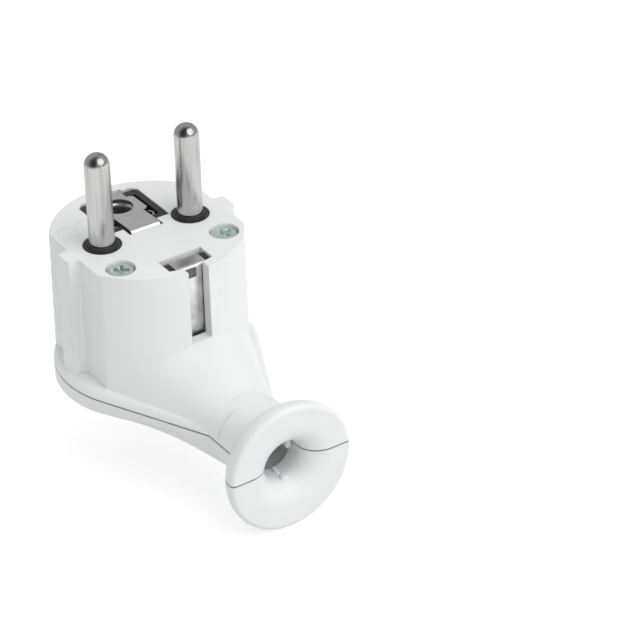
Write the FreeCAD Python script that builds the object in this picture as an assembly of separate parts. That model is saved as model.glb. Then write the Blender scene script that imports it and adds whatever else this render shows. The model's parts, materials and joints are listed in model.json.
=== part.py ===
import FreeCAD, Part
import math
import os
from FreeCAD import Vector

# Angled mains plug with two round pins, two side earth contacts and an earth pin hole.
# Millimetres. The engagement face is the plane z = 0, X runs through both pins, the pins
# point up and the cord leaves towards -Y.

# Pins and earth contacts
pin_pitch = 19.0
pin_d = 4.8
pin_len = 19.0
shank_r = 2.65
earth_offset = 10.0
earth_hole_d = 5.6
strip_w = 6.2
strip_t = 0.8
strip_bend = 0.5

# Outside of the housing
face_d = 36.0
body_draft_deg = 0.8
body_h = 26.2
flat_inset = 2.2
rib_w = 4.0
rib_root_r = 0.8
flange_t = 2.0
flange_round = 1.8
rim_out = 1.5
pear_shift = 1.3
neck_r = 7.35
neck_corner_y = -31.2
neck_overlap = 3.0
neck_blend = 3.0
neck_sink = 0.15
shoulder_top = 15.2
shoulder_inset = 0.9
shoulder_hold = 4
shoulder_fullness = 0.76
shoulder_stations = (-0.7, -0.35, 0.0, 0.35, 0.7, 1.0, 1.2)

# Back cover
cover_edge = 2.6
cover_depth = 4.3
cover_tail_depth = 3.4
cover_wall = 1.8
cover_blend_y = -4.0
cover_sections = 6
dome_margin = 0.3
cover_fullness = 0.6
lip_h = 1.2
lip_t = 1.2

# Flared cord outlet
cord_drop = 0.8
flare_r = 12.7
flare_end_y = -47.0
flare_thick = 6.2
flare_lean = 1.6
flare_back_r = 4.9
flare_front_r = 0.9
flare_root_r = 2.0
throat_r = 4.0
throat_len = 2.6
bell_r = 4.5

# Walls and clearances
wall = 2.0
face_wall = 2.2
seam = 0.25
seam_step = 0.4
slide_gap = 0.15
pin_gap = 0.05
thread_gap = 0.05
hole_gap = 0.2
strip_gap = 0.1

# Side earth slots
slot_w = 4.2
front_slot_depth = 15.0
rear_slot_depth = 16.5
face_slot_w = 9.1
face_slot_y = -11.2
clip_span = 3.85
clip_top = 0.3
leg_depth = 15.2
leg_toe = 2.6
leg_tuck = 0.25
leg_bend = 1.5

# Pocket for the earth plate
pocket_w = 12.8
pocket_y0 = 2.3
pocket_y1 = 14.9
pocket_chamfer = 1.2
notch_w = 7.2
notch_y0 = -0.1
plate_top = 0.0
plate_w = 8.6
plate_y0 = 6.3
plate_y1 = 12.3
plate_chamfer = 0.6
plate_seat_gap = 0.15
tongue_y = 0.4
pad_drop = 0.15
groove_w = 10.2
groove_y0 = 3.9
groove_depth = 1.8

# Contact carrier
carrier_h = 9.8
carrier_y0 = -4.8
carrier_y1 = 14.2
collar_r = 3.6
collar_cone_r = 2.84
collar_rise = 0.7
collar_lip = 0.25
sleeve_d = 4.9
sleeve_wall = 0.6
sleeve_len = 9.5
boss_x = 9.0
boss_y = 9.3
boss_r = 2.35
boss_len = 6.0

# Terminals
head_r = 3.6
head_len = 5.0
terminal_r = 1.5
terminal_depth = 5.5
terminal_head_r = 2.9
terminal_head_h = 2.0
washer_w = 7.0
washer_t = 1.2
earth_screw_y = -4.6
earth_screw_depth = 2.5
earth_foot_end = -8.6
clip_foot_end = -1.0

# Screws that close the plug
screw_x = 11.1
screw_y = -9.1
screw_r = 1.5
screw_head_r = 2.55
screw_head_h = 1.9
screw_sink = 0.35
recess_r = 2.8
post_r = 3.3
post_rise = 1.8
insert_r = 2.3
insert_len = 3.0

# Carrier and clamp screws
small_screw_r = 1.2
small_head_r = 1.8
small_head_h = 1.5
small_depth = 5.0

# Drive recesses
cross_w = 0.7
cross_len = 3.0
slot_drive_w = 0.8
drive_depth = 0.9

# Cord clamp
clamp_y = -18.0
clamp_x = 5.9
clamp_w = 4.6
cord_r = 3.3
clamp_rise = 2.1
clamp_gap = 0.6
strap_t = 1.0
ear_round = 1.5
clamp_boss_r = 1.75
saddle_t = 1.8

face_r = face_d / 2
pear_r = face_r + rim_out
pin_r = pin_d / 2
flat_x = face_r - flat_inset
cavity_r = face_r - wall
cavity_x = flat_x - wall
duct_r = neck_r - wall
neck_w = neck_r - neck_sink
part_z = -body_h
flange_top = part_z + flange_t
cord_z = part_z - cord_drop
neck_end_y = neck_corner_y - neck_overlap
carrier_z = -face_wall - carrier_h
plate_z = -plate_top - strip_t
leg_mid = math.sqrt(cavity_r ** 2 - (strip_w / 2) ** 2) - strip_gap - strip_t / 2
clamp_z = cord_z + clamp_rise
strap_z = clamp_z - clamp_gap - strap_t
big = 100.0
pin_places = {"line": -pin_pitch / 2, "neutral": pin_pitch / 2}
sides = {"left": -1, "right": 1}


def box(x0, x1, y0, y1, z0, z1):
    return Part.makeBox(x1 - x0, y1 - y0, z1 - z0, Vector(x0, y0, z0))


def cyl(r, z0, z1, x=0.0, y=0.0):
    return Part.makeCylinder(r, z1 - z0, Vector(x, y, z0))


def above(z):
    return box(-big, big, -big, big, z, big)


def below(z):
    return box(-big, big, -big, big, -big, z)


def fuse(shapes):
    """One solid from touching shapes, with no seams left in its flat and round faces."""
    solids = [solid for shape in shapes for solid in shape.Solids]
    joined = solids[0].multiFuse(solids[1:]).removeSplitter()
    return joined.Solids[0] if len(joined.Solids) == 1 else joined


def is_upright(edge):
    a, b = edge.Vertexes[0].Point, edge.Vertexes[-1].Point
    return math.hypot(a.x - b.x, a.y - b.y) < 1e-6 < abs(a.z - b.z)


def rounded_wire(points, radii, closed):
    """Straight runs through the points, each corner replaced by a tangent arc of its radius."""
    n = len(points)
    edges = []
    first = last = None
    for i, p in enumerate(points):
        start = end = p
        if radii[i] > 0:
            a = (points[i - 1] - p).normalize()
            b = (points[(i + 1) % n] - p).normalize()
            half = a.getAngle(b) / 2
            cut = radii[i] / math.tan(half)
            start = p + a * cut
            end = p + b * cut
            mid = p + (a + b).normalize() * (radii[i] / math.sin(half) - radii[i])
        if first is None:
            first = start
        elif last.distanceToPoint(start) > 1e-6:
            edges.append(Part.LineSegment(last, start).toShape())
        if radii[i] > 0:
            edges.append(Part.Arc(start, mid, end).toShape())
        last = end
    if closed:
        edges.append(Part.LineSegment(last, first).toShape())
    return Part.Wire(edges)


def turned(points, radii):
    """Solid turned about the cord's axis, from (radius, y) points with rounded corners."""
    wire = rounded_wire([Vector(r, y, cord_z) for r, y in points], radii, True)
    return Part.Face(wire).revolve(Vector(0, 0, cord_z), Vector(0, 1, 0), 360)


def bent_strip(points, radii):
    """Spring strip that follows a path of (y, z) points along its middle."""
    path = rounded_wire([Vector(0, y, z) for y, z in points], radii, False)
    y, z = points[0]
    along = Vector(0, points[1][0] - y, points[1][1] - z).normalize()
    side = Vector(strip_w / 2, 0, 0)
    face = Vector(0, along.z, -along.y) * (strip_t / 2)
    mid = Vector(0, y, z)
    corners = [mid - side - face, mid + side - face, mid + side + face, mid - side + face]
    return path.makePipeShell([Part.makePolygon(corners + corners[:1])], True, False)


def tangent_point(r, shift, w, corner_y):
    """Where the straight side from the neck's corner meets the round part of the plan."""
    turn = math.atan2(corner_y + shift, w) + math.acos(r / math.hypot(w, corner_y + shift))
    return r * math.cos(turn), r * math.sin(turn) - shift


def pear_prism(r, shift, w, corner_y, end_y, z0, z1):
    """Round plan that narrows along two tangents to a straight neck."""
    tx, ty = tangent_point(r, shift, w, corner_y)
    top = Part.Arc(Vector(tx, ty, z0), Vector(0, r - shift, z0), Vector(-tx, ty, z0)).toShape()
    corners = [(-tx, ty), (-w, corner_y), (-w, end_y), (w, end_y), (w, corner_y), (tx, ty)]
    sides = Part.makePolygon([Vector(x, y, z0) for x, y in corners])
    solid = Part.Face(Part.Wire([top] + sides.Edges)).extrude(Vector(0, 0, z1 - z0))
    hollow = [e for e in solid.Edges if is_upright(e) and abs(e.Vertexes[0].Y - corner_y) < 1e-6]
    return solid.makeFillet(neck_blend, hollow)


def outer_pear(z0, z1, inset=0.0):
    return pear_prism(pear_r - inset, pear_shift, neck_w - inset, neck_corner_y, neck_end_y, z0, z1)


def inner_pear(z0, z1, inset=0.0):
    """Plan of the wiring space, flat on both sides as the body is."""
    pear = pear_prism(cavity_r - inset, 0.0, duct_r - inset, neck_corner_y + wall, neck_end_y, z0, z1)
    return pear.common(box(-cavity_x + inset, cavity_x - inset, -big, big, z0, z1))


def half_width(y):
    """Half the width of the outer plan at y."""
    tx, ty = tangent_point(pear_r, pear_shift, neck_w, neck_corner_y)
    if y > ty:
        return math.sqrt(pear_r ** 2 - min(y + pear_shift, 0.0) ** 2)
    return max(neck_w, neck_w + (y - neck_corner_y) * (tx - neck_w) / (ty - neck_corner_y))


def ease(share):
    """Share from 0 to 1 that leaves and arrives gently."""
    t = min(max(share, 0.0), 1.0)
    return t * t * (3 - 2 * t)


def arch(y, w, h, fullness, base, up):
    """Closed section at y: sides of height base on the parting plane, and an arch over them."""
    def at(x, z):
        return Vector(x, y, part_z + up * z)

    rise = base + (h - base) * 4 / 3
    curve = Part.BezierCurve()
    curve.setPoles([at(-w, base), at(-w * fullness, rise), at(w * fullness, rise), at(w, base)])
    sides = Part.makePolygon([at(w, base), at(w, 0), at(-w, 0), at(-w, base)])
    return Part.Wire([curve.toShape()] + sides.Edges)


def shoulder(inset=0.0):
    """Hood that slopes from the body to the neck and turns from an arch into a round."""
    h_body = body_h - shoulder_top
    h_neck = neck_w - cord_drop
    sections = []
    for share in shoulder_stations:
        y = -face_r + share * (neck_corner_y + face_r)
        near = min(share, 1.0)
        h = h_body + near * (h_neck - h_body)
        w = half_width(y) - shoulder_inset * (1 - (near if near < 0 else near ** shoulder_hold))
        fullness = shoulder_fullness + ease(near) * (1 - shoulder_fullness)
        sections.append(arch(y, w - inset, h - inset, fullness, seam, 1))
    return Part.makeLoft(sections, True, False)


def cover_dome(inset=0.0):
    """Back of the cover: shallow over the wiring, blending into the round of the neck."""
    y_tail = pear_r - pear_shift
    y_first = y_tail + cover_edge
    h_neck = neck_w + cord_drop
    sections = []
    for i in range(cover_sections + 1):
        y = y_first + i / cover_sections * (neck_end_y - y_first)
        deep = ease(1 - y / y_tail)
        turn = ease((cover_blend_y - y) / (cover_blend_y - neck_end_y))
        h = cover_tail_depth + deep * (cover_depth - cover_tail_depth) + turn * (h_neck - cover_depth)
        base = cover_edge + turn * (seam - cover_edge)
        w = half_width(y) + (1 - turn) * dome_margin
        fullness = cover_fullness + turn * (1 - cover_fullness)
        sections.append(arch(y, w - inset, h - inset, fullness, max(base - inset, seam), -1))
    return Part.makeLoft(sections, True, False)


def flare(inset=0.0):
    """Neck and flared lip as a full round, to be split at the parting plane."""
    back_y = flare_end_y + flare_thick - inset
    front_y = flare_end_y + inset
    edge_r = flare_r - inset
    points = [(0, neck_corner_y), (neck_r - inset, neck_corner_y), (neck_r - inset, back_y),
              (edge_r, back_y - flare_lean), (edge_r, front_y), (0, front_y)]
    return turned(points, [0, 0, flare_root_r + inset, flare_back_r - inset, flare_front_r - inset, 0])


def cord_duct():
    """Bell-mouthed throat for the cord, widening into the neck."""
    mouth_y = flare_end_y - 1
    bell_y = flare_end_y + bell_r
    step_y = bell_y + throat_len
    bore = turned([(0, neck_corner_y + wall), (duct_r, neck_corner_y + wall),
                   (duct_r, step_y + duct_r - throat_r), (throat_r, step_y), (throat_r, mouth_y),
                   (0, mouth_y)], [0] * 6)
    mouth = turned([(0, bell_y), (throat_r, bell_y), (throat_r + bell_r, bell_y),
                    (throat_r + bell_r, mouth_y), (0, mouth_y)], [0] * 5)
    lip = Part.makeTorus(throat_r + bell_r, bell_r, Vector(0, bell_y, cord_z), Vector(0, 1, 0))
    return bore.fuse(mouth.cut(lip))


def screw_posts(z0, z1, r):
    return [cyl(r, z0, z1, s * screw_x, screw_y) for s in sides.values()]


def pocket(z0, z1, inset=0.0):
    """Opening in the face for the earth plate, with notches where the strip bends down."""
    w = pocket_w / 2 - inset
    main_box = box(-w, w, pocket_y0 + inset, pocket_y1 - inset, z0, z1)
    corners = [e for e in main_box.Edges if is_upright(e) and e.Vertexes[0].Y > pocket_y0 + 1]
    n = notch_w / 2 - inset
    notch = box(-n, n, notch_y0 + inset, cavity_r, z0, z1).common(cyl(cavity_r - inset, z0, z1))
    return main_box.makeChamfer(pocket_chamfer, corners).fuse(notch).removeSplitter()


def plate_plan(z0, z1, grow=0.0):
    """The flat of the earth plate: a strip with a wider part round the earth pin hole."""
    w = plate_w / 2 + grow
    wide = box(-w, w, plate_y0 - grow, plate_y1 + grow, z0, z1)
    wide = wide.makeChamfer(plate_chamfer, [e for e in wide.Edges if is_upright(e)])
    n = strip_w / 2 + grow
    narrow = box(-n, n, tongue_y, leg_mid, z0, z1)
    return wide.fuse(narrow).removeSplitter()


def side_flat():
    """What is cut away beside the rib, on the +X, +Y quarter of the body."""
    cutter = box(flat_x, face_r + wall, rib_w / 2, face_r, flange_top, 1)
    root = [e for e in cutter.Edges if is_upright(e)
            and math.hypot(e.Vertexes[0].X - flat_x, e.Vertexes[0].Y - rib_w / 2) < 1e-6]
    return cutter.makeFillet(rib_root_r, root)


def housing_outside():
    spread = body_h * math.tan(math.radians(body_draft_deg))
    body = Part.makeCone(face_r + spread, face_r, body_h, Vector(0, 0, part_z))
    quarter = side_flat()
    half = quarter.fuse(quarter.mirror(Vector(), Vector(0, 1, 0)))
    body = body.cut(half).cut(half.mirror(Vector(), Vector(1, 0, 0)))
    flange = outer_pear(part_z, flange_top)
    rim = [e for e in flange.Edges if all(v.Z > flange_top - 1e-6 for v in e.Vertexes)]
    flange = flange.makeFillet(flange_round, rim)
    upper = [shape.common(above(part_z + seam)) for shape in (body, flange, shoulder(), flare())]
    land = fuse([outer_pear(part_z, part_z + seam, seam_step),
                 flare(seam_step).common(above(part_z)).common(below(part_z + seam))])
    return fuse(upper + [land])


def housing():
    """Moulded front body: face, wiring space, hood, half of the neck and of the flare."""
    room = inner_pear(part_z - 1, -face_wall).common(cyl(cavity_r, part_z - 1, 0).fuse(shoulder(wall)))
    room = fuse([room, inner_pear(part_z - 1, part_z + seam)]
                + screw_posts(part_z - 1, part_z + post_rise, post_r + slide_gap))
    seat_z = strap_z + strap_t
    inside = screw_posts(part_z + post_rise, 0, post_r)
    inside.append(box(-clamp_x, clamp_x, clamp_y - saddle_t / 2, clamp_y + saddle_t / 2, seat_z, 0)
                  .cut(along_cord(cord_r)))
    for s in sides.values():
        inside.append(cyl(boss_r, -face_wall - boss_len, 0, s * boss_x, boss_y))
        inside.append(cyl(clamp_boss_r, seat_z, 0, s * clamp_x, clamp_y))
    for kept in inside:
        room = room.cut(kept)
    shell = housing_outside().cut(room).cut(cord_duct())
    for cutter in housing_holes():
        shell = shell.cut(cutter)
    return shell


def housing_holes():
    """Every opening through the face and the side walls, and the holes for screws."""
    cutters = screw_posts(part_z - 1, 1, screw_r + hole_gap)
    cutters += screw_posts(-screw_sink - screw_head_h, 1, recess_r)
    cutters += [cyl(collar_r + pin_gap, -big, 1, x, 0) for x in pin_places.values()]
    half = face_slot_w / 2
    cutters.append(box(-half, half, -face_r, face_slot_y, -face_wall, 1).common(cyl(cavity_r, -big, 1)))
    half = slot_w / 2
    reach = face_r + wall
    cutters.append(box(-half, half, -reach, 1 - cavity_r, -front_slot_depth, 1))
    cutters.append(box(-half, half, cavity_r - 1, reach, -rear_slot_depth, 1))
    cutters.append(pocket(-face_wall, 1))
    for s in sides.values():
        cutters.append(cyl(small_screw_r + thread_gap, -big, -face_wall, s * boss_x, boss_y))
        hole_top = strap_z + strap_t + small_depth + hole_gap
        cutters.append(cyl(small_screw_r + thread_gap, part_z, hole_top, s * clamp_x, clamp_y))
    return cutters


def along_cord(r):
    """Round of radius r along the cord where the clamp holds it."""
    return Part.makeCylinder(r, big, Vector(0, -big, clamp_z), Vector(0, 1, 0))


def cover():
    """Moulded back shell with a locating lip, posts for the inserts and half of the flare."""
    dome = outer_pear(part_z - 2 * neck_r, part_z).common(cover_dome())
    lower = fuse([dome, flare().common(below(part_z))])
    inner = slide_gap + lip_t
    room = inner_pear(part_z - 2 * neck_r, part_z + lip_h, inner)
    shell = lower.cut(room.common(cover_dome(cover_wall))).cut(cord_duct())
    lip = inner_pear(part_z, part_z + lip_h, slide_gap).cut(room)
    lip = lip.common(cyl(cavity_r - slide_gap, part_z, part_z + lip_h))
    posts = screw_posts(part_z, part_z + post_rise, post_r)
    posts += [post.common(dome) for post in screw_posts(-big, part_z, post_r)]
    shell = fuse([shell, lip] + posts)
    floor = part_z + post_rise - insert_len
    for cutter in screw_posts(floor, 0, insert_r) + screw_posts(floor - hole_gap, 0, screw_r):
        shell = shell.cut(cutter)
    return shell


def carrier():
    """Insulating block that holds the pins and the earth plate, with collars in the face."""
    block = inner_pear(carrier_z, -face_wall, slide_gap)
    block = block.common(box(-big, big, carrier_y0, carrier_y1, carrier_z, 0))
    pad = pocket(-face_wall, -pad_drop, slide_gap).common(box(-big, big, -big, carrier_y1, -big, 0))
    cone_top = pin_r + pin_gap + collar_lip
    raised = [pad]
    for x in pin_places.values():
        raised.append(cyl(collar_r, -face_wall, 0, x, 0))
        raised.append(Part.makeCone(collar_cone_r, cone_top, collar_rise, Vector(x, 0, 0)))
    block = fuse([block] + raised)
    block = block.cut(plate_plan(plate_z, 1, plate_seat_gap))
    g = groove_w / 2
    groove = box(-g, g, groove_y0, plate_y1 + plate_seat_gap, -groove_depth, 1)
    block = block.cut(groove.cut(plate_plan(-groove_depth, plate_z, plate_seat_gap)))
    half = strip_w / 2 + strip_gap
    cut_t = strip_t / 2 + strip_gap
    bend = strip_bend + cut_t
    block = block.cut(box(-half, half, tongue_y - cut_t, tongue_y + bend, plate_z - bend, 0))
    block = block.cut(box(-half, half, tongue_y - cut_t, tongue_y + cut_t, carrier_z, 0))
    turn = carrier_z + bend
    block = block.cut(box(-half, half, tongue_y - bend, tongue_y + cut_t, carrier_z, turn))
    for x in pin_places.values():
        block = block.cut(cyl(shank_r + pin_gap, carrier_z, 0, x, 0))
        block = block.cut(cyl(pin_r + pin_gap, 0, collar_rise, x, 0))
    sleeve_r = sleeve_d / 2 + sleeve_wall
    block = block.cut(cyl(sleeve_r + pin_gap, plate_z - sleeve_len, 0, 0, earth_offset))
    block = block.cut(cyl(sleeve_r - pin_gap, carrier_z, 0, 0, earth_offset))
    for s in sides.values():
        block = block.cut(cyl(boss_r + slide_gap, -face_wall - boss_len, 0, s * boss_x, boss_y))
        block = block.cut(cyl(small_screw_r + hole_gap, carrier_z, 0, s * boss_x, boss_y))
    top = carrier_z + earth_screw_depth + hole_gap
    return block.cut(cyl(terminal_r + hole_gap, carrier_z, top, 0, earth_screw_y))


def pin(x):
    """Plug pin with a round end, and a thick inner end that takes the terminal screw."""
    end_z = pin_len - pin_r
    head_z = carrier_z - head_len
    shape = fuse([cyl(pin_r, 0, end_z, x, 0), Part.makeSphere(pin_r, Vector(x, 0, end_z)),
                  cyl(shank_r, carrier_z, 0, x, 0), cyl(head_r, head_z, carrier_z, x, 0)])
    return shape.cut(cyl(terminal_r + thread_gap, head_z, head_z + terminal_depth, x, 0))


def washer(x, y, top):
    """Square clamp washer over the wire of a terminal."""
    half = washer_w / 2
    plate = box(x - half, x + half, y - half, y + half, top - washer_t, top)
    return plate.cut(cyl(terminal_r + hole_gap, -big, big, x, y))


def screw(x, y, seat, up, shank_r, length, r, h, drive):
    """Screw with its head on the seat plane and its shank going up or down from there."""
    z0, z1 = (seat - h, seat) if up > 0 else (seat, seat + h)
    tip = seat + up * length
    outer = seat - up * h
    shape = cyl(r, z0, z1, x, y).fuse(cyl(shank_r, min(seat, tip), max(seat, tip), x, y)).removeSplitter()
    low, high = sorted((outer, outer + up * drive_depth))
    if drive == "cross":
        a, b = cross_len / 2, cross_w / 2
        shape = shape.cut(box(x - a, x + a, y - b, y + b, low, high))
        return shape.cut(box(x - b, x + b, y - a, y + a, low, high))
    return shape.cut(box(x - r, x + r, y - slot_drive_w / 2, y + slot_drive_w / 2, low, high))


def earth_plate():
    """Rear earth contact: side leg, plate round the earth pin hole, tongue and foot."""
    mid = plate_z + strip_t / 2
    foot = carrier_z - strip_t / 2
    points = [(leg_mid - leg_tuck, -leg_depth), (leg_mid, leg_toe - leg_depth), (leg_mid, mid),
              (tongue_y, mid), (tongue_y, foot), (earth_foot_end, foot)]
    strip = bent_strip(points, [0, leg_bend, strip_bend, strip_bend, strip_bend, 0])
    w = plate_w / 2
    wide = box(-w, w, plate_y0, plate_y1, plate_z, -plate_top)
    wide = wide.makeChamfer(plate_chamfer, [e for e in wide.Edges if is_upright(e)])
    plate = fuse([strip, wide]).cut(cyl(earth_hole_d / 2, plate_z - 1, 0, 0, earth_offset))
    return plate.cut(cyl(terminal_r + thread_gap, -big, carrier_z, 0, earth_screw_y))


def earth_clip():
    """Front earth contact: side leg, top bend in the face slot, inner leg and foot."""
    top = -clip_top - strip_t / 2
    foot = carrier_z - 1.5 * strip_t
    inner = leg_mid - clip_span + strip_t
    points = [(leg_tuck - leg_mid, -leg_depth), (-leg_mid, leg_toe - leg_depth), (-leg_mid, top),
              (-inner, top), (-inner, foot), (clip_foot_end, foot)]
    strip = bent_strip(points, [0, leg_bend, strip_bend, strip_bend, strip_bend, 0])
    return strip.cut(cyl(terminal_r + hole_gap, -big, carrier_z, 0, earth_screw_y))


def sleeve():
    """Spring sleeve under the plate that grips the socket's earth pin."""
    r = sleeve_d / 2
    tube = cyl(r + sleeve_wall, plate_z - sleeve_len, plate_z, 0, earth_offset)
    return tube.cut(cyl(r, -big, 0, 0, earth_offset))


def insert(x):
    """Threaded brass insert in a post of the cover."""
    top = part_z + post_rise
    ring = cyl(insert_r, top - insert_len, top, x, screw_y)
    return ring.cut(cyl(screw_r + thread_gap, -big, 0, x, screw_y))


def strap():
    """Arched strap that holds the cord down on the saddle, with an ear at each side."""
    ear = clamp_x + clamp_boss_r
    y0, y1 = clamp_y - clamp_w / 2, clamp_y + clamp_w / 2
    ears = box(-ear, ear, y0, y1, strap_z, strap_z + strap_t)
    ears = ears.makeFillet(ear_round, [e for e in ears.Edges if is_upright(e)])
    arch_part = along_cord(cord_r + strap_t).common(box(-big, big, y0, y1, -big, strap_z + strap_t))
    shape = fuse([ears, arch_part]).cut(along_cord(cord_r))
    for s in sides.values():
        shape = shape.cut(cyl(small_screw_r + hole_gap, -big, 0, s * clamp_x, clamp_y))
    return shape


def screws():
    """All screws and terminal washers, by name."""
    made = {}
    pin_end = carrier_z - head_len
    for name, x in pin_places.items():
        made[name + "_terminal_washer"] = washer(x, 0, pin_end)
        made[name + "_terminal_screw"] = screw(x, 0, pin_end - washer_t, 1, terminal_r,
                                               washer_t + terminal_depth - hole_gap,
                                               terminal_head_r, terminal_head_h, "slot")
    earth_end = carrier_z - 2 * strip_t
    made["earth_terminal_washer"] = washer(0, earth_screw_y, earth_end)
    made["earth_terminal_screw"] = screw(0, earth_screw_y, earth_end - washer_t, 1, terminal_r,
                                         washer_t + 2 * strip_t + earth_screw_depth,
                                         terminal_head_r, terminal_head_h, "slot")
    head_seat = -screw_sink - screw_head_h
    for name, s in sides.items():
        made["cover_screw_" + name] = screw(s * screw_x, screw_y, head_seat, -1, screw_r,
                                            head_seat - part_z - post_rise + insert_len, screw_head_r,
                                            screw_head_h, "cross")
        made["cover_insert_" + name] = insert(s * screw_x)
        made["carrier_screw_" + name] = screw(s * boss_x, boss_y, carrier_z, 1, small_screw_r,
                                              carrier_h - hole_gap, small_head_r, small_head_h, "cross")
        made["clamp_screw_" + name] = screw(s * clamp_x, clamp_y, strap_z, 1, small_screw_r,
                                            strap_t + small_depth, small_head_r, small_head_h, "cross")
    return made


def main():
    nodes = {"front_housing": housing(), "back_cover": cover(), "contact_carrier": carrier(),
             "rear_earth_plate": earth_plate(), "front_earth_clip": earth_clip(),
             "earth_pin_sleeve": sleeve(), "cord_clamp_strap": strap()}
    for name, x in pin_places.items():
        nodes[name + "_pin"] = pin(x)
    nodes.update(screws())
    os.makedirs("parts", exist_ok=True)
    for name, shape in nodes.items():
        shape.exportStep(os.path.join("parts", name + ".step"))
        box_size = shape.BoundBox
        print(f"{name}: {len(shape.Solids)} solid, valid {shape.isValid()}, {shape.Volume:.0f} mm3,"
              f" {box_size.XLength:.1f} x {box_size.YLength:.1f} x {box_size.ZLength:.1f}")


main()
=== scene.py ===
import json
import math

import bmesh
import bpy
from mathutils import Matrix, Vector


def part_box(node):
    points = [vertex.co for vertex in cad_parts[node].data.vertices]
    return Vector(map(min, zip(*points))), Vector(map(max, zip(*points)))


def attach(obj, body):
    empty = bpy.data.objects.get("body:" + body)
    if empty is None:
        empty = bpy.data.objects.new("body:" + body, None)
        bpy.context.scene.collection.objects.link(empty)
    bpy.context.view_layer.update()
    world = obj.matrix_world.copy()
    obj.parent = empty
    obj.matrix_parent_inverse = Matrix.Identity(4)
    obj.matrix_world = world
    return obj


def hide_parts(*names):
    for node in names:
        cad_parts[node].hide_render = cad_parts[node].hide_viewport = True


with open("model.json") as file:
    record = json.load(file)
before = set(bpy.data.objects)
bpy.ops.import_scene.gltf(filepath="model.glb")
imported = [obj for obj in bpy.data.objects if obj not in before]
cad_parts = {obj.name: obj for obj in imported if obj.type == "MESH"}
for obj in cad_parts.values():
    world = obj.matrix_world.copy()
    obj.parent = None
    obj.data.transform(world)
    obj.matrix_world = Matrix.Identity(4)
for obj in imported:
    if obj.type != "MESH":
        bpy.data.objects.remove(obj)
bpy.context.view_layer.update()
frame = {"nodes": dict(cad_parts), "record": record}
nodes = frame["nodes"]
MM = 0.001


# Camera: the angle, distance and framing of the photograph.

image_px = 640
sensor_mm = 36.0
focal_px = 2762.6
view_turn = math.radians(-33.934)
view_rise = math.radians(32.567)
view_roll = math.radians(-1.128)
view_distance = 0.509486
view_right = 0.031984
view_up = -0.016815


def place_camera():
    back = Vector((math.sin(view_turn) * math.cos(view_rise),
                   -math.cos(view_turn) * math.cos(view_rise),
                   math.sin(view_rise)))
    level = Vector((math.cos(view_turn), math.sin(view_turn), 0.0))
    upright = back.cross(level)
    right = level * math.cos(view_roll) + upright * math.sin(view_roll)
    up = upright * math.cos(view_roll) - level * math.sin(view_roll)
    data = bpy.data.cameras.new("camera")
    data.sensor_width = sensor_mm
    data.lens = focal_px / image_px * sensor_mm
    data.clip_start = 0.01
    data.clip_end = 20.0
    camera = bpy.data.objects.new("camera", data)
    bpy.context.scene.collection.objects.link(camera)
    at = back * view_distance + right * view_right + up * view_up
    turn = Matrix((right, up, back)).transposed()
    camera.matrix_world = Matrix.Translation(at) @ turn.to_4x4()
    bpy.context.scene.camera = camera


place_camera()


# Small helpers for node trees.

def new_material(name):
    material = bpy.data.materials.new(name)
    material.use_nodes = True
    material.node_tree.nodes.clear()
    return material, material.node_tree


def add(tree, kind, **settings):
    node = tree.nodes.new(kind)
    for key, value in settings.items():
        setattr(node, key, value)
    return node


def object_place(tree):
    return add(tree, "ShaderNodeTexCoord").outputs["Object"]


def axes(tree, where):
    node = add(tree, "ShaderNodeSeparateXYZ")
    tree.links.new(where, node.inputs["Vector"])
    return node.outputs


def stretched(tree, where, scale):
    node = add(tree, "ShaderNodeMapping")
    node.inputs["Scale"].default_value = scale
    tree.links.new(where, node.inputs["Vector"])
    return node.outputs["Vector"]


def combined(tree, operation, one, other):
    node = add(tree, "ShaderNodeMath", operation=operation)
    tree.links.new(one, node.inputs[0])
    tree.links.new(other, node.inputs[1])
    return node.outputs["Value"]


def noise(tree, where, scale, detail=3.0, roughness=0.5):
    node = add(tree, "ShaderNodeTexNoise")
    node.inputs["Scale"].default_value = scale
    node.inputs["Detail"].default_value = detail
    node.inputs["Roughness"].default_value = roughness
    tree.links.new(where, node.inputs["Vector"])
    return node.outputs["Fac"]


def ramp(tree, value, low, high, to_low, to_high):
    node = add(tree, "ShaderNodeMapRange")
    node.inputs["From Min"].default_value = low
    node.inputs["From Max"].default_value = high
    node.inputs["To Min"].default_value = to_low
    node.inputs["To Max"].default_value = to_high
    tree.links.new(value, node.inputs["Value"])
    return node.outputs["Result"]


def blend_colours(tree, share, one, other):
    node = add(tree, "ShaderNodeMix", data_type="RGBA")
    node.inputs["A"].default_value = (*one, 1.0)
    node.inputs["B"].default_value = (*other, 1.0)
    tree.links.new(share, node.inputs["Factor"])
    return node.outputs["Result"]


def tint_where(tree, share, colour, tint):
    """Lays a tint over a colour that already comes from nodes."""
    node = add(tree, "ShaderNodeMix", data_type="RGBA")
    node.inputs["B"].default_value = (*tint, 1.0)
    tree.links.new(colour, node.inputs["A"])
    tree.links.new(share, node.inputs["Factor"])
    return node.outputs["Result"]


def bump(tree, height, strength, distance, normal=None):
    node = add(tree, "ShaderNodeBump")
    node.inputs["Strength"].default_value = strength
    node.inputs["Distance"].default_value = distance
    tree.links.new(height, node.inputs["Height"])
    if normal is not None:
        tree.links.new(normal, node.inputs["Normal"])
    return node.outputs["Normal"]


def soft_edges(tree, radius):
    node = add(tree, "ShaderNodeBevel", samples=6)
    node.inputs["Radius"].default_value = radius
    return node.outputs["Normal"]


def finish_shader(tree, **links):
    shader = add(tree, "ShaderNodeBsdfPrincipled")
    out = add(tree, "ShaderNodeOutputMaterial")
    tree.links.new(shader.outputs["BSDF"], out.inputs["Surface"])
    for key, value in links.items():
        tree.links.new(value, shader.inputs[key.replace("_", " ")])
    return shader


# Materials.

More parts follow.
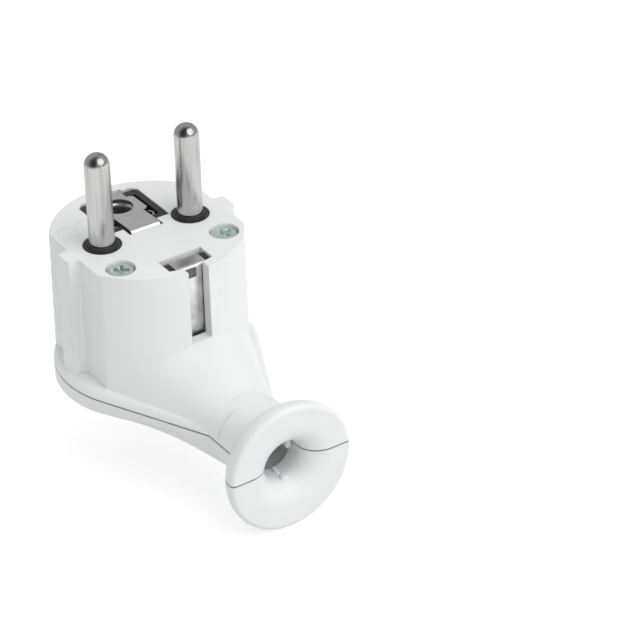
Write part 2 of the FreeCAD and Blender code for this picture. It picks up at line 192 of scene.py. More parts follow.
seam_low = -26.22 * MM
seam_high = -25.93 * MM
seam_blur = 0.02 * MM
# Grey painted into the gap between the shells as shade.
seam_painted_shade = (0.52, 0.52, 0.52)
moulding_marks = ((-12.4 * MM, 7.2 * MM), (-8.2 * MM, 7.6 * MM))
mark_radius = 2.0 * MM
mark_edge = 0.18 * MM
mark_height = 0.12 * MM
mark_fade = (-1.5 * MM, -1.0 * MM)
shell_edge = 0.28 * MM
carrier_edge = 0.15 * MM
fine_edge = 0.1 * MM
grain_depth = 0.04 * MM
plastic_ior = 1.49
recess_floor = -0.75 * MM
recess_brim = -0.48 * MM


def painted_seam_shade_mask(tree, height):
    """1 in the narrow gap between the shells, where shade is painted darker, and 0 elsewhere."""
    over = ramp(tree, height, seam_low - seam_blur, seam_low, 0.0, 1.0)
    under = ramp(tree, height, seam_high, seam_high + seam_blur, 1.0, 0.0)
    return combined(tree, "MULTIPLY", over, under)


def ejector_marks(tree, where, height):
    """Two faint raised discs that the mould's ejector pins left on the face."""
    discs = []
    for x, y in moulding_marks:
        away = add(tree, "ShaderNodeVectorMath", operation="SUBTRACT")
        away.inputs[1].default_value = (x, y, 0.0)
        tree.links.new(where, away.inputs[0])
        reach = add(tree, "ShaderNodeVectorMath", operation="LENGTH")
        tree.links.new(away.outputs["Vector"], reach.inputs[0])
        discs.append(ramp(tree, reach.outputs["Value"], mark_radius - mark_edge, mark_radius + mark_edge,
                          1.0, 0.0))
    near_face = ramp(tree, height, *mark_fade, 0.0, 1.0)
    return combined(tree, "MULTIPLY", combined(tree, "MAXIMUM", *discs), near_face)


def white_plastic(name, tint, grain_scale, shell=True):
    """Satin moulded plastic: a fine even grain, faint flow clouds, softened edges, and on the shells
    painted shade in the gap between them.
    """
    material, tree = new_material(name)
    where = object_place(tree)
    clouds = noise(tree, where, 55.0, 2.0)
    grain = noise(tree, where, grain_scale, 4.0, 0.6)
    darker = tuple(c * 0.975 for c in tint)
    colour = blend_colours(tree, ramp(tree, clouds, 0.35, 0.65, 0.0, 1.0), tint, darker)
    gloss = ramp(tree, clouds, 0.3, 0.7, 0.34, 0.42)
    edges = soft_edges(tree, shell_edge if shell else fine_edge)
    if shell:
        height = axes(tree, where)["Z"]
        # Painted shade: the gap between the shells is coloured darker.
        colour = tint_where(tree, painted_seam_shade_mask(tree, height), colour, seam_painted_shade)
        edges = bump(tree, ejector_marks(tree, where, height), 1.0, mark_height, edges)
    normal = bump(tree, grain, 0.12, grain_depth, edges)
    shader = finish_shader(tree, Base_Color=colour, Roughness=gloss, Normal=normal)
    shader.inputs["IOR"].default_value = plastic_ior
    return material


def dark_plastic():
    """Matt thermoset of the insulating carrier, with a pale dusting of grain."""
    material, tree = new_material("carrier_black")
    where = object_place(tree)
    speck = noise(tree, where, 2600.0, 3.0, 0.6)
    clouds = noise(tree, where, 160.0, 2.0)
    colour = blend_colours(tree, ramp(tree, speck, 0.45, 0.7, 0.0, 1.0),
                           (0.022, 0.022, 0.024), (0.04, 0.04, 0.043))
    gloss = ramp(tree, clouds, 0.3, 0.7, 0.38, 0.52)
    normal = bump(tree, speck, 0.2, grain_depth, soft_edges(tree, carrier_edge))
    finish_shader(tree, Base_Color=colour, Roughness=gloss, Normal=normal)
    return material


def in_recess(tree, where):
    """1 down in the drive of a cover screw, and 0 on the crown of its head."""
    return ramp(tree, axes(tree, where)["Z"], recess_floor, recess_brim, 1.0, 0.0)


def painted_fold_reflection_mask(tree, where):
    """1 on the patch just under the fold of the front clip, where a dark reflection is painted, and 0
    elsewhere.
    """
    split = axes(tree, where)
    below = ramp(tree, split["Z"], -2.86 * MM, -2.74 * MM, 0.0, 1.0)
    above = ramp(tree, split["Z"], -0.95 * MM, -0.75 * MM, 1.0, 0.0)
    beside = ramp(tree, split["X"], 0.8 * MM, 1.0 * MM, 1.0, 0.0)
    return combined(tree, "MULTIPLY", combined(tree, "MULTIPLY", below, above), beside)


def metal(name, tint, dull, rough, stretch, scale, edge=None, tint_and_painted_reflection=None, tint_and_reflection_mask=None):
    """Plated metal: long fine draw marks across the shine, and faint dull clouds."""
    material, tree = new_material(name)
    where = object_place(tree)
    marks = noise(tree, stretched(tree, where, stretch), scale, 3.0, 0.6)
    clouds = noise(tree, where, 210.0, 3.0)
    colour = blend_colours(tree, ramp(tree, clouds, 0.35, 0.7, 0.0, 1.0), tint, dull)
    # A patch of colour laid over the metal: the green tint in the screw drives, and on the front clip a
    # painted dark reflection under its fold.
    if tint_and_painted_reflection:
        colour = tint_where(tree, tint_and_reflection_mask(tree, where), colour, tint_and_painted_reflection)
    gloss = ramp(tree, marks, 0.3, 0.7, *rough)
    if edge:
        normal = bump(tree, marks, 0.08, 0.03 * MM, soft_edges(tree, edge))
    else:
        normal = bump(tree, marks, 0.05, 0.01 * MM)
    shader = finish_shader(tree, Base_Color=colour, Roughness=gloss, Normal=normal)
    shader.inputs["Metallic"].default_value = 1.0
    return material


def turned_pin():
    """Nickelled pin: dull streaks rubbed along it by sockets, over faint turning rings."""
    material, tree = new_material("pin_nickel")
    where = object_place(tree)
    streaks = noise(tree, stretched(tree, where, (1.0, 1.0, 0.09)), 620.0, 3.0, 0.55)
    turning = noise(tree, stretched(tree, where, (0.05, 0.05, 1.0)), 2600.0, 2.0)
    colour = blend_colours(tree, ramp(tree, streaks, 0.5, 0.78, 0.0, 1.0),
                           (0.51, 0.51, 0.505), (0.34, 0.34, 0.34))
    gloss = ramp(tree, streaks, 0.35, 0.7, 0.2, 0.32)
    scored = bump(tree, streaks, 0.1, 0.05 * MM, soft_edges(tree, fine_edge))
    normal = bump(tree, turning, 0.05, 0.02 * MM, scored)
    shader = finish_shader(tree, Base_Color=colour, Roughness=gloss, Normal=normal)
    shader.inputs["Metallic"].default_value = 1.0
    return material


finishes = {
    "inner_plastic": white_plastic("rib_white", (0.84, 0.85, 0.853), 3200.0, False),
    "housing_plastic": white_plastic("housing_white", (0.84, 0.85, 0.853), 3200.0),
    "cover_plastic": white_plastic("cover_white", (0.835, 0.845, 0.848), 3000.0),
    "carrier_plastic": dark_plastic(),
    "pin_metal": turned_pin(),
    "contact_metal": metal("contact_bright", (0.73, 0.73, 0.725), (0.65, 0.65, 0.645),
                           (0.26, 0.34), (1.0, 0.2, 0.2), 900.0),
    # The front clip gets a painted dark reflection just under its fold.
    "clip_metal": metal("clip_worn_painted_reflection", (0.78, 0.78, 0.775), (0.44, 0.44, 0.435),
                        (0.26, 0.34), (1.0, 0.25, 0.25), 420.0,
                        tint_and_painted_reflection=(0.13, 0.13, 0.13), tint_and_reflection_mask=painted_fold_reflection_mask),
    "screw_metal": metal("screw_zinc", (0.88, 0.91, 0.89), (0.76, 0.86, 0.81),
                         (0.26, 0.40), (1.0, 1.0, 4.0), 900.0, fine_edge,
                         tint_and_painted_reflection=(0.58, 0.84, 0.75), tint_and_reflection_mask=in_recess),
    "clamp_metal": metal("clamp_zinc", (0.58, 0.60, 0.57), (0.48, 0.50, 0.47),
                         (0.25, 0.4), (0.2, 1.0, 1.0), 900.0, 0.15 * MM),
    "insert_metal": metal("insert_brass", (0.72, 0.55, 0.26), (0.62, 0.46, 0.20),
                          (0.2, 0.34), (1.0, 1.0, 6.0), 700.0, fine_edge),
}

slots = {entry["node"]: entry["material_slot"] for entry in frame["record"]["subparts"]}
for name, slot in slots.items():
    nodes[name].data.materials.clear()
    nodes[name].data.materials.append(finishes[slot])


# Pieces: each is a mesh in place, rides on the one body and takes its finish from a slot.

def crease(mesh, degrees=32.0):
    """Smooth shading, with every edge sharper than the angle kept crisp."""
    work = bmesh.new()
    work.from_mesh(mesh)
    bmesh.ops.remove_doubles(work, verts=work.verts, dist=1e-6)
    limit = math.radians(degrees)
    for face in work.faces:
        face.smooth = True
    for edge in work.edges:
        edge.smooth = len(edge.link_faces) == 2 and edge.calc_face_angle() < limit
    work.to_mesh(mesh)
    work.free()


def place(name, mesh, slot, stands_for=None, finish=None):
    mesh.materials.clear()
    mesh.materials.append(finishes[finish or slot])
    piece = bpy.data.objects.new(name, mesh)
    bpy.context.scene.collection.objects.link(piece)
    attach(piece, "root")
    if stands_for:
        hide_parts(stands_for)
    return piece


def evaluated_mesh(piece):
    """What the piece's modifiers make, as a plain mesh of its own."""
    graph = bpy.context.evaluated_depsgraph_get()
    mesh = bpy.data.meshes.new_from_object(piece.evaluated_get(graph))
    piece.modifiers.clear()
    piece.data = mesh
    return mesh


def settle(piece, degrees=32.0):
    crease(evaluated_mesh(piece), degrees)


pin_length = 19.0
pin_radius = 2.4
cap_low = 0.41
cap_radius = math.hypot(pin_radius, cap_low)
cap_reach = math.acos(cap_low / cap_radius)
cap_bottom = pin_length - cap_radius + cap_low


def end_cap(mesh, x):
    """Gives a pin the slightly flat end cap of the photograph, with a crisp edge round it."""
    start = pin_length - pin_radius
    for vertex in mesh.vertices:
        px, py, pz = (c / MM for c in vertex.co)
        if pz > start - 0.001:
            out = math.hypot(px - x, py)
            tilt = math.atan2(out, max(pz - start, 0.0)) * cap_reach / (math.pi / 2)
            if out > 1e-6:
                grown = cap_radius * math.sin(tilt) / out
                px, py = x + (px - x) * grown, py * grown
            vertex.co = Vector((px, py, cap_bottom - cap_low + cap_radius * math.cos(tilt))) * MM
    for edge in mesh.edges:
        if all(abs(mesh.vertices[k].co.z / MM - cap_bottom) < 0.01 for k in edge.vertices):
            edge.use_edge_sharp = True


fold_radius = 0.9
plate_fold = (0.9, -0.9, 0.4)
clip_fold = (-14.7, -1.2, 0.15)
plate_lift = 0.45
lift_from = 9.5
lift_run = 9.0
lift_depth = 6.0


def worn_fold(mesh, middle_y, middle_z, flatness):
    """Flattens the outside of a strip's fold into the broad band that a press leaves."""
    for vertex in mesh.vertices:
        y = vertex.co.y / MM - middle_y
        z = vertex.co.z / MM - middle_z
        if y < 0.02 and z > -0.02 and abs(math.hypot(y, z) - fold_radius) < 0.03:
            spare = flatness * (z - y - fold_radius)
            vertex.co.y += spare / 2 * MM
            vertex.co.z -= spare / 2 * MM


def lift_plate(mesh):
    """The plate's front edge stands a little proud of the face, as in the photograph."""
    for vertex in mesh.vertices:
        y, z = vertex.co.y / MM, vertex.co.z / MM
        if y < lift_from:
            share = min((lift_from - y) / lift_run, 1.0) * min(max(1 + z / lift_depth, 0.0), 1.0)
            vertex.co.z += plate_lift * share * MM


def skin(name):
    """The surface of a solid, joined and shaded smooth with its flat faces kept flat."""
    mesh = nodes[name].data.copy()
    finish = None
    crease(mesh)
    if name in ("line_pin", "neutral_pin"):
        end_cap(mesh, sum(corner[0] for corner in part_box(name)) / 2 / MM)
    if name == "rear_earth_plate":
        worn_fold(mesh, *plate_fold)
        lift_plate(mesh)
    if name == "front_earth_clip":
        worn_fold(mesh, *clip_fold)
        finish = "clip_metal"
    piece = place(name + "_skin", mesh, slots[name], name, finish)
    even = piece.modifiers.new("even", "WEIGHTED_NORMAL")
    even.keep_sharp = True
    evaluated_mesh(piece)


for name in ("front_housing", "back_cover", "contact_carrier", "line_pin", "neutral_pin",
             "rear_earth_plate", "front_earth_clip", "cord_clamp_strap", "line_terminal_washer",
             "neutral_terminal_washer", "earth_terminal_washer"):
    skin(name)


def ring_of(work, radius, z, x, y, count):
    return [work.verts.new((x + radius * math.cos(math.tau * k / count),
                            y + radius * math.sin(math.tau * k / count), z)) for k in range(count)]


def stitch(work, one, other):
    for k in range(len(one)):
        after = (k + 1) % len(one)
        work.faces.new((one[k], one[after], other[after], other[k]))


def turned(profile, x, y, count=64):
    """Mesh turned about an upright axis, through (radius, z) points given in millimetres."""
    work = bmesh.new()
    rings = [ring_of(work, r * MM, z * MM, x * MM, y * MM, count) for r, z in profile]
    for one, other in zip(rings, rings[1:]):
        stitch(work, one, other)
    return work, rings


# Screws: heads with a pressed recess, and a thread that Geometry Nodes winds round the core.

thread_pitch = 0.5
thread_height = 0.16
thread_turn_points = 20


def thread_group():
    """Adds a core and a wound thread under whatever mesh it is given."""
    group = bpy.data.node_groups.new("wound_thread", "GeometryNodeTree")
    face = group.interface
    face.new_socket("Head", in_out="INPUT", socket_type="NodeSocketGeometry")
    names = {}
    for label in ("Radius", "Length", "Pitch", "Height"):
        names[label] = face.new_socket(label, in_out="INPUT", socket_type="NodeSocketFloat").identifier
    names["Foot"] = face.new_socket("Foot", in_out="INPUT", socket_type="NodeSocketVector").identifier
    names["Metal"] = face.new_socket("Metal", in_out="INPUT", socket_type="NodeSocketMaterial").identifier
    face.new_socket("Screw", in_out="OUTPUT", socket_type="NodeSocketGeometry")
    link = group.links.new
    given = add(group, "NodeGroupInput")
    reach = add(group, "ShaderNodeMath", operation="SUBTRACT")
    link(given.outputs["Radius"], reach.inputs[0])
    link(given.outputs["Height"], reach.inputs[1])
    turns = add(group, "ShaderNodeMath", operation="DIVIDE")
    link(given.outputs["Length"], turns.inputs[0])
    link(given.outputs["Pitch"], turns.inputs[1])
    spiral = add(group, "GeometryNodeCurveSpiral")
    spiral.inputs["Resolution"].default_value = thread_turn_points
    link(turns.outputs[0], spiral.inputs["Rotations"])
    link(reach.outputs[0], spiral.inputs["Start Radius"])
    link(reach.outputs[0], spiral.inputs["End Radius"])
    link(given.outputs["Length"], spiral.inputs["Height"])
    upright = add(group, "GeometryNodeSetCurveNormal", mode="Z_UP")
    link(spiral.outputs["Curve"], upright.inputs["Curve"])
    ridge = add(group, "GeometryNodeCurvePrimitiveCircle", mode="RADIUS")
    ridge.inputs["Resolution"].default_value = 4
    link(given.outputs["Height"], ridge.inputs["Radius"])
    wound = add(group, "GeometryNodeCurveToMesh")
    wound.inputs["Fill Caps"].default_value = True
    link(upright.outputs["Curve"], wound.inputs["Curve"])
    link(ridge.outputs["Curve"], wound.inputs["Profile Curve"])
    core = add(group, "GeometryNodeMeshCylinder", fill_type="NGON")
    core.inputs["Vertices"].default_value = 32
    link(reach.outputs[0], core.inputs["Radius"])
    link(given.outputs["Length"], core.inputs["Depth"])
    half = add(group, "ShaderNodeMath", operation="MULTIPLY")
    half.inputs[1].default_value = 0.5
    link(given.outputs["Length"], half.inputs[0])
    lift = add(group, "ShaderNodeCombineXYZ")
    link(half.outputs[0], lift.inputs["Z"])
    raised = add(group, "GeometryNodeTransform")
    link(core.outputs["Mesh"], raised.inputs["Geometry"])
    link(lift.outputs["Vector"], raised.inputs["Translation"])
    shank = add(group, "GeometryNodeJoinGeometry")
    link(wound.outputs["Mesh"], shank.inputs["Geometry"])
    link(raised.outputs["Geometry"], shank.inputs["Geometry"])
    placed = add(group, "GeometryNodeTransform")
    link(shank.outputs["Geometry"], placed.inputs["Geometry"])
    link(given.outputs["Foot"], placed.inputs["Translation"])
    whole = add(group, "GeometryNodeJoinGeometry")
    link(given.outputs["Head"], whole.inputs["Geometry"])
    link(placed.outputs["Geometry"], whole.inputs["Geometry"])
    real = add(group, "GeometryNodeRealizeInstances")
    link(whole.outputs["Geometry"], real.inputs["Geometry"])
    dressed = add(group, "GeometryNodeSetMaterial")
    link(real.outputs["Geometry"], dressed.inputs["Geometry"])
    link(given.outputs["Metal"], dressed.inputs["Material"])
    out = add(group, "NodeGroupOutput")
    link(dressed.outputs["Geometry"], out.inputs["Screw"])
    return group, names


rim_share = 0.22
drive_share = 0.28
crown = 0.06
cross_slope = 0.22
slot_slope = 0.12
tick_width = 0.09
tick_depth = 0.05
rim_steps = 6


def cross_depth(x, y, length, width):
    """How deep the recess is at a point: 1 on its floor, 0 outside, sloped walls between."""
    away = min(max(abs(x) - length / 2, abs(y) - width / 2), max(abs(y) - length / 2, abs(x) - width / 2))
    return min(max(0.5 - away / cross_slope, 0.0), 1.0)


def slot_depth(y, width):
    return min(max(0.5 - (abs(y) - width / 2) / slot_slope, 0.0), 1.0)


def drive_cut(u, v, radius, drive, depth):
    """How far the drive goes down at a point of the head, with the ticks scored by a cross."""
    if drive == "slot":
        return depth * slot_depth(v, 0.28 * radius)
    ticked = 0.42 * radius < math.hypot(u, v) < 0.7 * radius
    tick = max(0.0, 1.0 - abs(abs(u) - abs(v)) / tick_width) if ticked else 0.0
    return depth * cross_depth(u, v, 1.16 * radius, 0.27 * radius) + tick_depth * tick


def head_mesh(x, y, seat, up, radius, height, drive, turn, spokes=96, rings=26):
    """Screw head as a fine disc: rounded rim, low crown, and the drive pressed into it."""
    work = bmesh.new()
    rim = rim_share * height
    depth = drive_share * height
    loops = []
    for k in range(1, rings + 1):
        r = (radius - rim) * k / rings
        loop = []
        for a in range(spokes):
            angle = math.tau * a / spokes
            cut = drive_cut(r * math.cos(angle - turn), r * math.sin(angle - turn), radius, drive, depth)
            h = height - crown * (r / radius) ** 2 - cut
            loop.append(work.verts.new(((x + r * math.cos(angle)) * MM, (y + r * math.sin(angle)) * MM,
                                        (seat - up * h) * MM)))
        loops.append(loop)
    middle = work.verts.new((x * MM, y * MM, (seat - up * (height - depth)) * MM))
    for a in range(spokes):
        work.faces.new((middle, loops[0][a], loops[0][(a + 1) % spokes]))
    for step in range(1, rim_steps + 1):
        bend = step / rim_steps * math.pi / 2
        r = radius - rim + rim * math.sin(bend)
        z = seat - up * (height - crown - rim + rim * math.cos(bend))
        loops.append(ring_of(work, r * MM, z * MM, x * MM, y * MM, spokes))
    loops.append(ring_of(work, radius * MM, seat * MM, x * MM, y * MM, spokes))
    loops.append(ring_of(work, 0.3 * radius * MM, seat * MM, x * MM, y * MM, spokes))
    for one, other in zip(loops, loops[1:]):
        stitch(work, one, other)
    bmesh.ops.recalc_face_normals(work, faces=work.faces)
    mesh = bpy.data.meshes.new("head")
    work.to_mesh(mesh)
    work.free()
    return mesh


group, thread_sockets = thread_group()


# Radius and height of the head, and radius of the thread.
cover_screw_size = (2.55, 1.9, 1.5)
small_screw_size = (1.8, 1.5, 1.2)
terminal_screw_size = (2.9, 2.0, 1.5)


def screw(name, size, up, drive, turn):
    """A screw in the place of its solid: head on the seat, thread going the other way."""
    head_r, head_h, shank_r = size
    low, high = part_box(name)
    x, y = [(low[k] + high[k]) / 2 / MM for k in (0, 1)]
    bottom, top = low[2] / MM, high[2] / MM
    seat = bottom + head_h if up > 0 else top - head_h
    length = top - seat if up > 0 else seat - bottom
    mesh = head_mesh(x, y, seat, up, head_r, head_h, drive, math.radians(turn))
    piece = place(name + "_threaded", mesh, slots[name], name)
    wind = piece.modifiers.new("thread", "NODES")
    wind.node_group = group
    wind[thread_sockets["Radius"]] = shank_r * MM
    wind[thread_sockets["Length"]] = (length - thread_height) * MM
    wind[thread_sockets["Pitch"]] = thread_pitch * MM
    wind[thread_sockets["Height"]] = thread_height * MM
    foot = seat if up > 0 else bottom + thread_height
    wind[thread_sockets["Foot"]] = (x * MM, y * MM, foot * MM)
    wind[thread_sockets["Metal"]] = finishes[slots[name]]
    settle(piece)


for side, turn in (("left", -34.0), ("right", 14.0)):
    screw("cover_screw_" + side, cover_screw_size, -1, "cross", turn)
    screw("carrier_screw_" + side, small_screw_size, 1, "cross", turn + 20)
    screw("clamp_screw_" + side, small_screw_size, 1, "cross", turn + 55)
for name, turn in (("line", 12.0), ("neutral", -25.0), ("earth", 5.0)):
    screw(name + "_terminal_screw", terminal_screw_size, 1, "slot", turn)


# Brass inserts: a bored ring with knurling ribs set round it by Geometry Nodes.

knurl_ribs = 28
knurl_out = 0.16
knurl_sink = 1.42 * knurl_out
knurl_margin = 0.7
insert_bore = 1.55
insert_chamfer = 0.2
insert_lead = 0.25


def knurl_group():
    group = bpy.data.node_groups.new("knurl", "GeometryNodeTree")
    face = group.interface
    face.new_socket("Ring", in_out="INPUT", socket_type="NodeSocketGeometry")
    names = {}
    for label in ("Radius", "Length"):
        names[label] = face.new_socket(label, in_out="INPUT", socket_type="NodeSocketFloat").identifier
    names["Centre"] = face.new_socket("Centre", in_out="INPUT", socket_type="NodeSocketVector").identifier
    names["Metal"] = face.new_socket("Metal", in_out="INPUT", socket_type="NodeSocketMaterial").identifier
    face.new_socket("Insert", in_out="OUTPUT", socket_type="NodeSocketGeometry")
    link = group.links.new
    given = add(group, "NodeGroupInput")
    circle = add(group, "GeometryNodeCurvePrimitiveCircle", mode="RADIUS")
    circle.inputs["Resolution"].default_value = knurl_ribs
    link(given.outputs["Radius"], circle.inputs["Radius"])
    spots = add(group, "GeometryNodeCurveToPoints", mode="EVALUATED")
    link(circle.outputs["Curve"], spots.inputs["Curve"])
    size = add(group, "ShaderNodeCombineXYZ")
    size.inputs["X"].default_value = 2 * knurl_out * MM
    size.inputs["Z"].default_value = 2 * knurl_out * MM
    link(given.outputs["Length"], size.inputs["Y"])
    rib = add(group, "GeometryNodeMeshCube")
    link(size.outputs["Vector"], rib.inputs["Size"])
    eighth = add(group, "GeometryNodeTransform")
    eighth.inputs["Rotation"].default_value = (0.0, math.radians(45.0), 0.0)
    link(rib.outputs["Mesh"], eighth.inputs["Geometry"])
    stand = add(group, "GeometryNodeTransform")
    stand.inputs["Rotation"].default_value = (math.radians(90.0), 0.0, 0.0)
    link(eighth.outputs["Geometry"], stand.inputs["Geometry"])
    copies = add(group, "GeometryNodeInstanceOnPoints")
    link(spots.outputs["Points"], copies.inputs["Points"])
    link(stand.outputs["Geometry"], copies.inputs["Instance"])
    moved = add(group, "GeometryNodeTransform")
    link(copies.outputs["Instances"], moved.inputs["Geometry"])
    link(given.outputs["Centre"], moved.inputs["Translation"])
    whole = add(group, "GeometryNodeJoinGeometry")
    link(given.outputs["Ring"], whole.inputs["Geometry"])
    link(moved.outputs["Geometry"], whole.inputs["Geometry"])
    real = add(group, "GeometryNodeRealizeInstances")
    link(whole.outputs["Geometry"], real.inputs["Geometry"])
    dressed = add(group, "GeometryNodeSetMaterial")
    link(real.outputs["Geometry"], dressed.inputs["Geometry"])
    link(given.outputs["Metal"], dressed.inputs["Material"])
    out = add(group, "NodeGroupOutput")
    link(dressed.outputs["Geometry"], out.inputs["Insert"])
    return group, names


knurl, knurl_sockets = knurl_group()


def finish_turning(work, rings, name):
    stitch(work, rings[-1], rings[0])
    bmesh.ops.recalc_face_normals(work, faces=work.faces)
    mesh = bpy.data.meshes.new(name)
    work.to_mesh(mesh)
    work.free()
    return mesh


def insert(name):
    low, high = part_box(name)
    x, y = [(low[k] + high[k]) / 2 / MM for k in (0, 1)]
    z0, z1 = low[2] / MM, high[2] / MM
    outer = (high[0] - low[0]) / 2 / MM
    bore, body = insert_bore, outer - knurl_out
    cut, lead = insert_chamfer, insert_lead
    profile = [(body, z0 + cut), (body, z1 - cut), (body - cut, z1), (bore + lead, z1), (bore, z1 - lead),
               (bore, z0 + lead), (bore + lead, z0), (body - cut, z0)]
    work, rings = turned(profile, x, y)
    piece = place(name + "_knurled", finish_turning(work, rings, name), slots[name], name)
    ribs = piece.modifiers.new("knurl", "NODES")
    ribs.node_group = knurl
    ribs[knurl_sockets["Radius"]] = (outer - knurl_sink) * MM
    ribs[knurl_sockets["Length"]] = (z1 - z0 - knurl_margin) * MM
    ribs[knurl_sockets["Centre"]] = (x * MM, y * MM, (z0 + z1) / 2 * MM)
    ribs[knurl_sockets["Metal"]] = finishes[slots[name]]
    settle(piece)


for side in ("left", "right"):
    insert("cover_insert_" + side)


# Spring sleeve under the earth plate: a rolled funnel at its mouth catches the light.

sleeve_wall = 0.6
funnel_width = 0.36
funnel_depth = 0.75


def sleeve():
    low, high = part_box("earth_pin_sleeve")
    x, y = [(low[k] + high[k]) / 2 / MM for k in (0, 1)]
    z0, z1 = low[2] / MM, high[2] / MM
    outer = (high[0] - low[0]) / 2 / MM
    bore = outer - sleeve_wall
    bends = [t / 5 * math.pi / 2 for t in range(6)]
    funnel = [(bore + funnel_width * (1 - math.sin(bend)), z1 - funnel_depth * (1 - math.cos(bend)))
              for bend in bends]
    profile = [(outer, z0), (outer, z1 - 0.15), (outer - 0.15, z1)] + funnel
    profile += [(bore, z1 - 3.0), (bore - 0.05, z1 - 4.0), (bore - 0.05, z1 - 7.0), (bore, z0 + 0.4),
                (bore + 0.2, z0)]
    work, rings = turned(profile, x, y, 72)
    piece = place("earth_pin_sleeve_rolled", finish_turning(work, rings, "sleeve"),
                  slots["earth_pin_sleeve"], "earth_pin_sleeve")
    settle(piece, 50.0)


sleeve()


# Small forms: lugs beside the earth plate, stops beside the clip, ribs and button in the mouth.

lug_path = [(3.95, 5.95), (4.3, 5.72), (4.52, 5.35), (4.55, 4.95), (4.35, 4.6), (3.95, 4.42), (3.6, 4.4)]
lug_half = 0.13
lug_foot = -1.5


def block(name, corners, slot, soften, finish="inner_plastic"):
    """A block through eight corners, low four then high four, with rounded edges."""
    work = bmesh.new()
    made = [work.verts.new(Vector(c) * MM) for c in corners]
    for loop in ((0, 1, 2, 3), (4, 5, 6, 7), (0, 1, 5, 4), (1, 2, 6, 5), (2, 3, 7, 6), (3, 0, 4, 7)):
        work.faces.new([made[k] for k in loop])
    bmesh.ops.recalc_face_normals(work, faces=work.faces)
    bmesh.ops.bevel(work, geom=work.edges[:], offset=soften * MM, segments=3, affect="EDGES", profile=0.5)
    mesh = bpy.data.meshes.new(name)
    work.to_mesh(mesh)
    work.free()
    crease(mesh)
    return place(name, mesh, slot, finish=finish)


def lug(name, side):
    """Thin tab rolled up beside the tongue of the earth plate."""
    work = bmesh.new()
    rows = []
    for k, (x, y) in enumerate(lug_path):
        ahead = Vector(lug_path[min(k + 1, len(lug_path) - 1)]) - Vector(lug_path[max(k - 1, 0)])
        across = Vector((ahead.y, -ahead.x)).normalized() * lug_half
        top = -0.2 - 0.04 * k
        outline = ((-1, lug_foot), (-1, top - 0.06), (0, top), (1, top - 0.06), (1, lug_foot))
        rows.append([work.verts.new(Vector((side * (x + s * across.x), y + s * across.y, z)) * MM)
                     for s, z in outline])
    for one, other in zip(rows, rows[1:]):
        stitch(work, one, other)
    for end in (rows[0], rows[-1]):
        work.faces.new(end)
    bmesh.ops.recalc_face_normals(work, faces=work.faces)
    mesh = bpy.data.meshes.new(name)
    work.to_mesh(mesh)
    work.free()
    crease(mesh, 50.0)
    place(name, mesh, "contact_metal")


for label, side in (("left", -1), ("right", 1)):
    lug("plate_lug_" + label, side)
    near, far = 2.65 * side, 3.65 * side
    block("mouth_rib_" + label,
          [(near, -41.2, -27.1), (far, -41.2, -27.1), (far, -38.9, -27.1), (near, -38.9, -27.1),
           (near, -41.2, -23.2), (far, -41.2, -24.2), (far, -38.9, -24.2), (near, -38.9, -23.2)],
          "housing_plastic", 0.12)
    near, far = 3.05 * side, 4.5 * side
    block("clip_stop_" + label,
          [(near, -15.6, -7.0), (far, -15.6, -7.0), (far, -12.65, -7.0), (near, -12.65, -7.0),
           (near, -15.6, -0.7), (far, -15.6, -0.7), (far, -12.4, -0.4), (near, -12.4, -0.4)],
          "carrier_plastic", 0.15, "carrier_plastic")
block("mouth_stop",
      [(-0.45, -42.6, -31.6), (0.5, -42.6, -31.6), (0.5, -40.6, -31.6), (-0.45, -40.6, -31.6),
       (-0.2, -42.4, -30.65), (0.3, -42.4, -30.65), (0.3, -40.6, -30.2), (-0.2, -40.6, -30.2)],
      "cover_plastic", 0.16)


def mouth_button():
    """Round knob beside the stop, with a faint dimple on its end."""
    profile = [(0.8, -32.3), (0.78, -30.75), (0.7, -30.5), (0.5, -30.4), (0.3, -30.42), (0.12, -30.45)]
    work, rings = turned(profile, 0.35, -43.6, 32)
    work.faces.new(rings[-1])
    bmesh.ops.recalc_face_normals(work, faces=work.faces)
    mesh = bpy.data.meshes.new("mouth_button")
    work.to_mesh(mesh)
    work.free()
    crease(mesh)
    place("mouth_button", mesh, "cover_plastic", finish="inner_plastic")


mouth_button()


# Floor: a plain pale sheet under the plug, which leans back until flare and cover both touch.

floor_tilt = math.radians(8.9)
floor_size = 3.0
floor_white = 0.72
floor_lift = 0.52


def lowest_touch():
    """The lowest point of the shells along the floor's upright direction."""
    up = Vector((0.0, math.sin(floor_tilt), math.cos(floor_tilt)))
    low = 1.0
    for name in ("front_housing", "back_cover"):
        for vertex in nodes[name].data.vertices:
            low = min(low, vertex.co.dot(up))
    return up, low


def floor_material():
    material, tree = new_material("floor_white")
    paths = add(tree, "ShaderNodeLightPath")
    diffuse = add(tree, "ShaderNodeBsdfDiffuse")
    diffuse.inputs["Color"].default_value = (floor_white, floor_white, floor_white, 1.0)
    glow = add(tree, "ShaderNodeEmission")
    seen = combined(tree, "MAXIMUM", paths.outputs["Is Camera Ray"], paths.outputs["Is Glossy Ray"])
    tree.links.new(ramp(tree, seen, 0.0, 1.0, 0.0, floor_lift), glow.inputs["Strength"])
    both = add(tree, "ShaderNodeAddShader")
    out = add(tree, "ShaderNodeOutputMaterial")
    tree.links.new(diffuse.outputs["BSDF"], both.inputs[0])
    tree.links.new(glow.outputs["Emission"], both.inputs[1])
    tree.links.new(both.outputs["Shader"], out.inputs["Surface"])
    return material


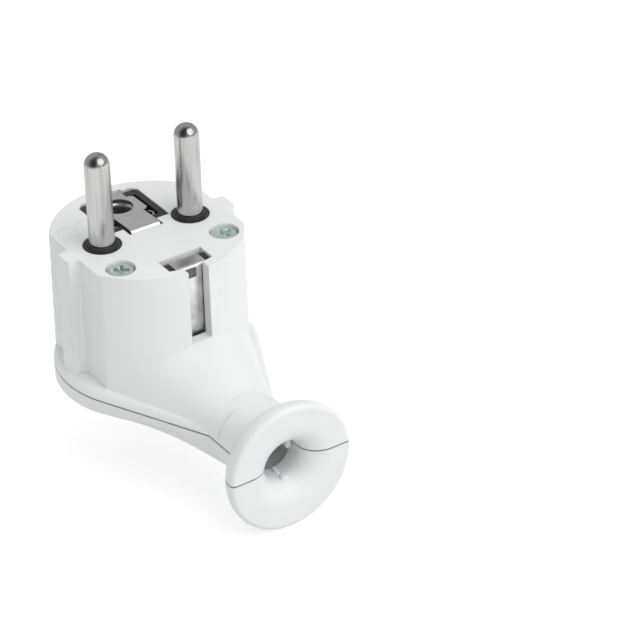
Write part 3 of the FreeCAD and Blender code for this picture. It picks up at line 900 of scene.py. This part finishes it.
def lay_floor():
    up, low = lowest_touch()
    side = Vector((1.0, 0.0, 0.0))
    ahead = up.cross(side)
    mesh = bpy.data.meshes.new("floor")
    corners = [up * low + side * (sx * floor_size) + ahead * (sy * floor_size)
               for sx, sy in ((-1, -1), (1, -1), (1, 1), (-1, 1))]
    mesh.from_pydata([tuple(c) for c in corners], [], [(0, 1, 2, 3)])
    mesh.materials.append(floor_material())
    floor = bpy.data.objects.new("floor", mesh)
    bpy.context.scene.collection.objects.link(floor)


lay_floor()


# Light: an even white room that metal sees as dark on the viewer's side, and two broad soft lamps.

room_light = 1.0
side_light = 0.70
horizon = -0.1
dark_way = (-0.37, -0.70, 0.55)
dark_edge = (0.15, 0.62)
mirror_light = (0.62, 0.03)
lamp_way = (0.29, -0.60, 0.75)
lamp_distance = 0.95
lamp_width = 1.0
lamp_watts = 4.3
fill_way = (-0.12, -0.93, 0.30)
fill_watts = 0.7


def soft_lamp(name, place, aim, width, watts):
    data = bpy.data.lights.new(name, "AREA")
    data.shape = "DISK"
    data.size = width
    data.energy = watts
    lamp = bpy.data.objects.new(name, data)
    bpy.context.scene.collection.objects.link(lamp)
    back = (place - aim).normalized()
    lamp.matrix_world = Matrix.Translation(place) @ back.to_track_quat("Z", "Y").to_matrix().to_4x4()


def white_world():
    world = bpy.data.worlds.new("room")
    world.use_nodes = True
    tree = world.node_tree
    tree.nodes.clear()
    paths = add(tree, "ShaderNodeLightPath")
    behind = add(tree, "ShaderNodeBackground")
    behind.inputs["Strength"].default_value = 1.0
    heading = add(tree, "ShaderNodeTexCoord").outputs["Generated"]
    around = add(tree, "ShaderNodeBackground")
    tree.links.new(ramp(tree, axes(tree, heading)["Z"], horizon, 1.0, side_light, room_light),
                   around.inputs["Strength"])
    mirrored = add(tree, "ShaderNodeBackground")
    toward = add(tree, "ShaderNodeVectorMath", operation="DOT_PRODUCT")
    toward.inputs[1].default_value = Vector(dark_way).normalized()
    tree.links.new(heading, toward.inputs[0])
    shade = ramp(tree, toward.outputs["Value"], *dark_edge, *mirror_light)
    tree.links.new(shade, mirrored.inputs["Strength"])
    soft = add(tree, "ShaderNodeMixShader")
    choose = add(tree, "ShaderNodeMixShader")
    out = add(tree, "ShaderNodeOutputWorld")
    tree.links.new(paths.outputs["Is Glossy Ray"], soft.inputs["Fac"])
    tree.links.new(around.outputs["Background"], soft.inputs[1])
    tree.links.new(mirrored.outputs["Background"], soft.inputs[2])
    tree.links.new(paths.outputs["Is Camera Ray"], choose.inputs["Fac"])
    tree.links.new(soft.outputs["Shader"], choose.inputs[1])
    tree.links.new(behind.outputs["Background"], choose.inputs[2])
    tree.links.new(choose.outputs["Shader"], out.inputs["Surface"])
    bpy.context.scene.world = world


plug_middle = Vector((0.0, -12.0, -15.0)) * MM
for label, way, watts in (("key", lamp_way, lamp_watts), ("fill", fill_way, fill_watts)):
    soft_lamp(label, plug_middle + Vector(way) * lamp_distance, plug_middle, lamp_width, watts)
white_world()

bpy.context.scene.view_settings.view_transform = "Standard"
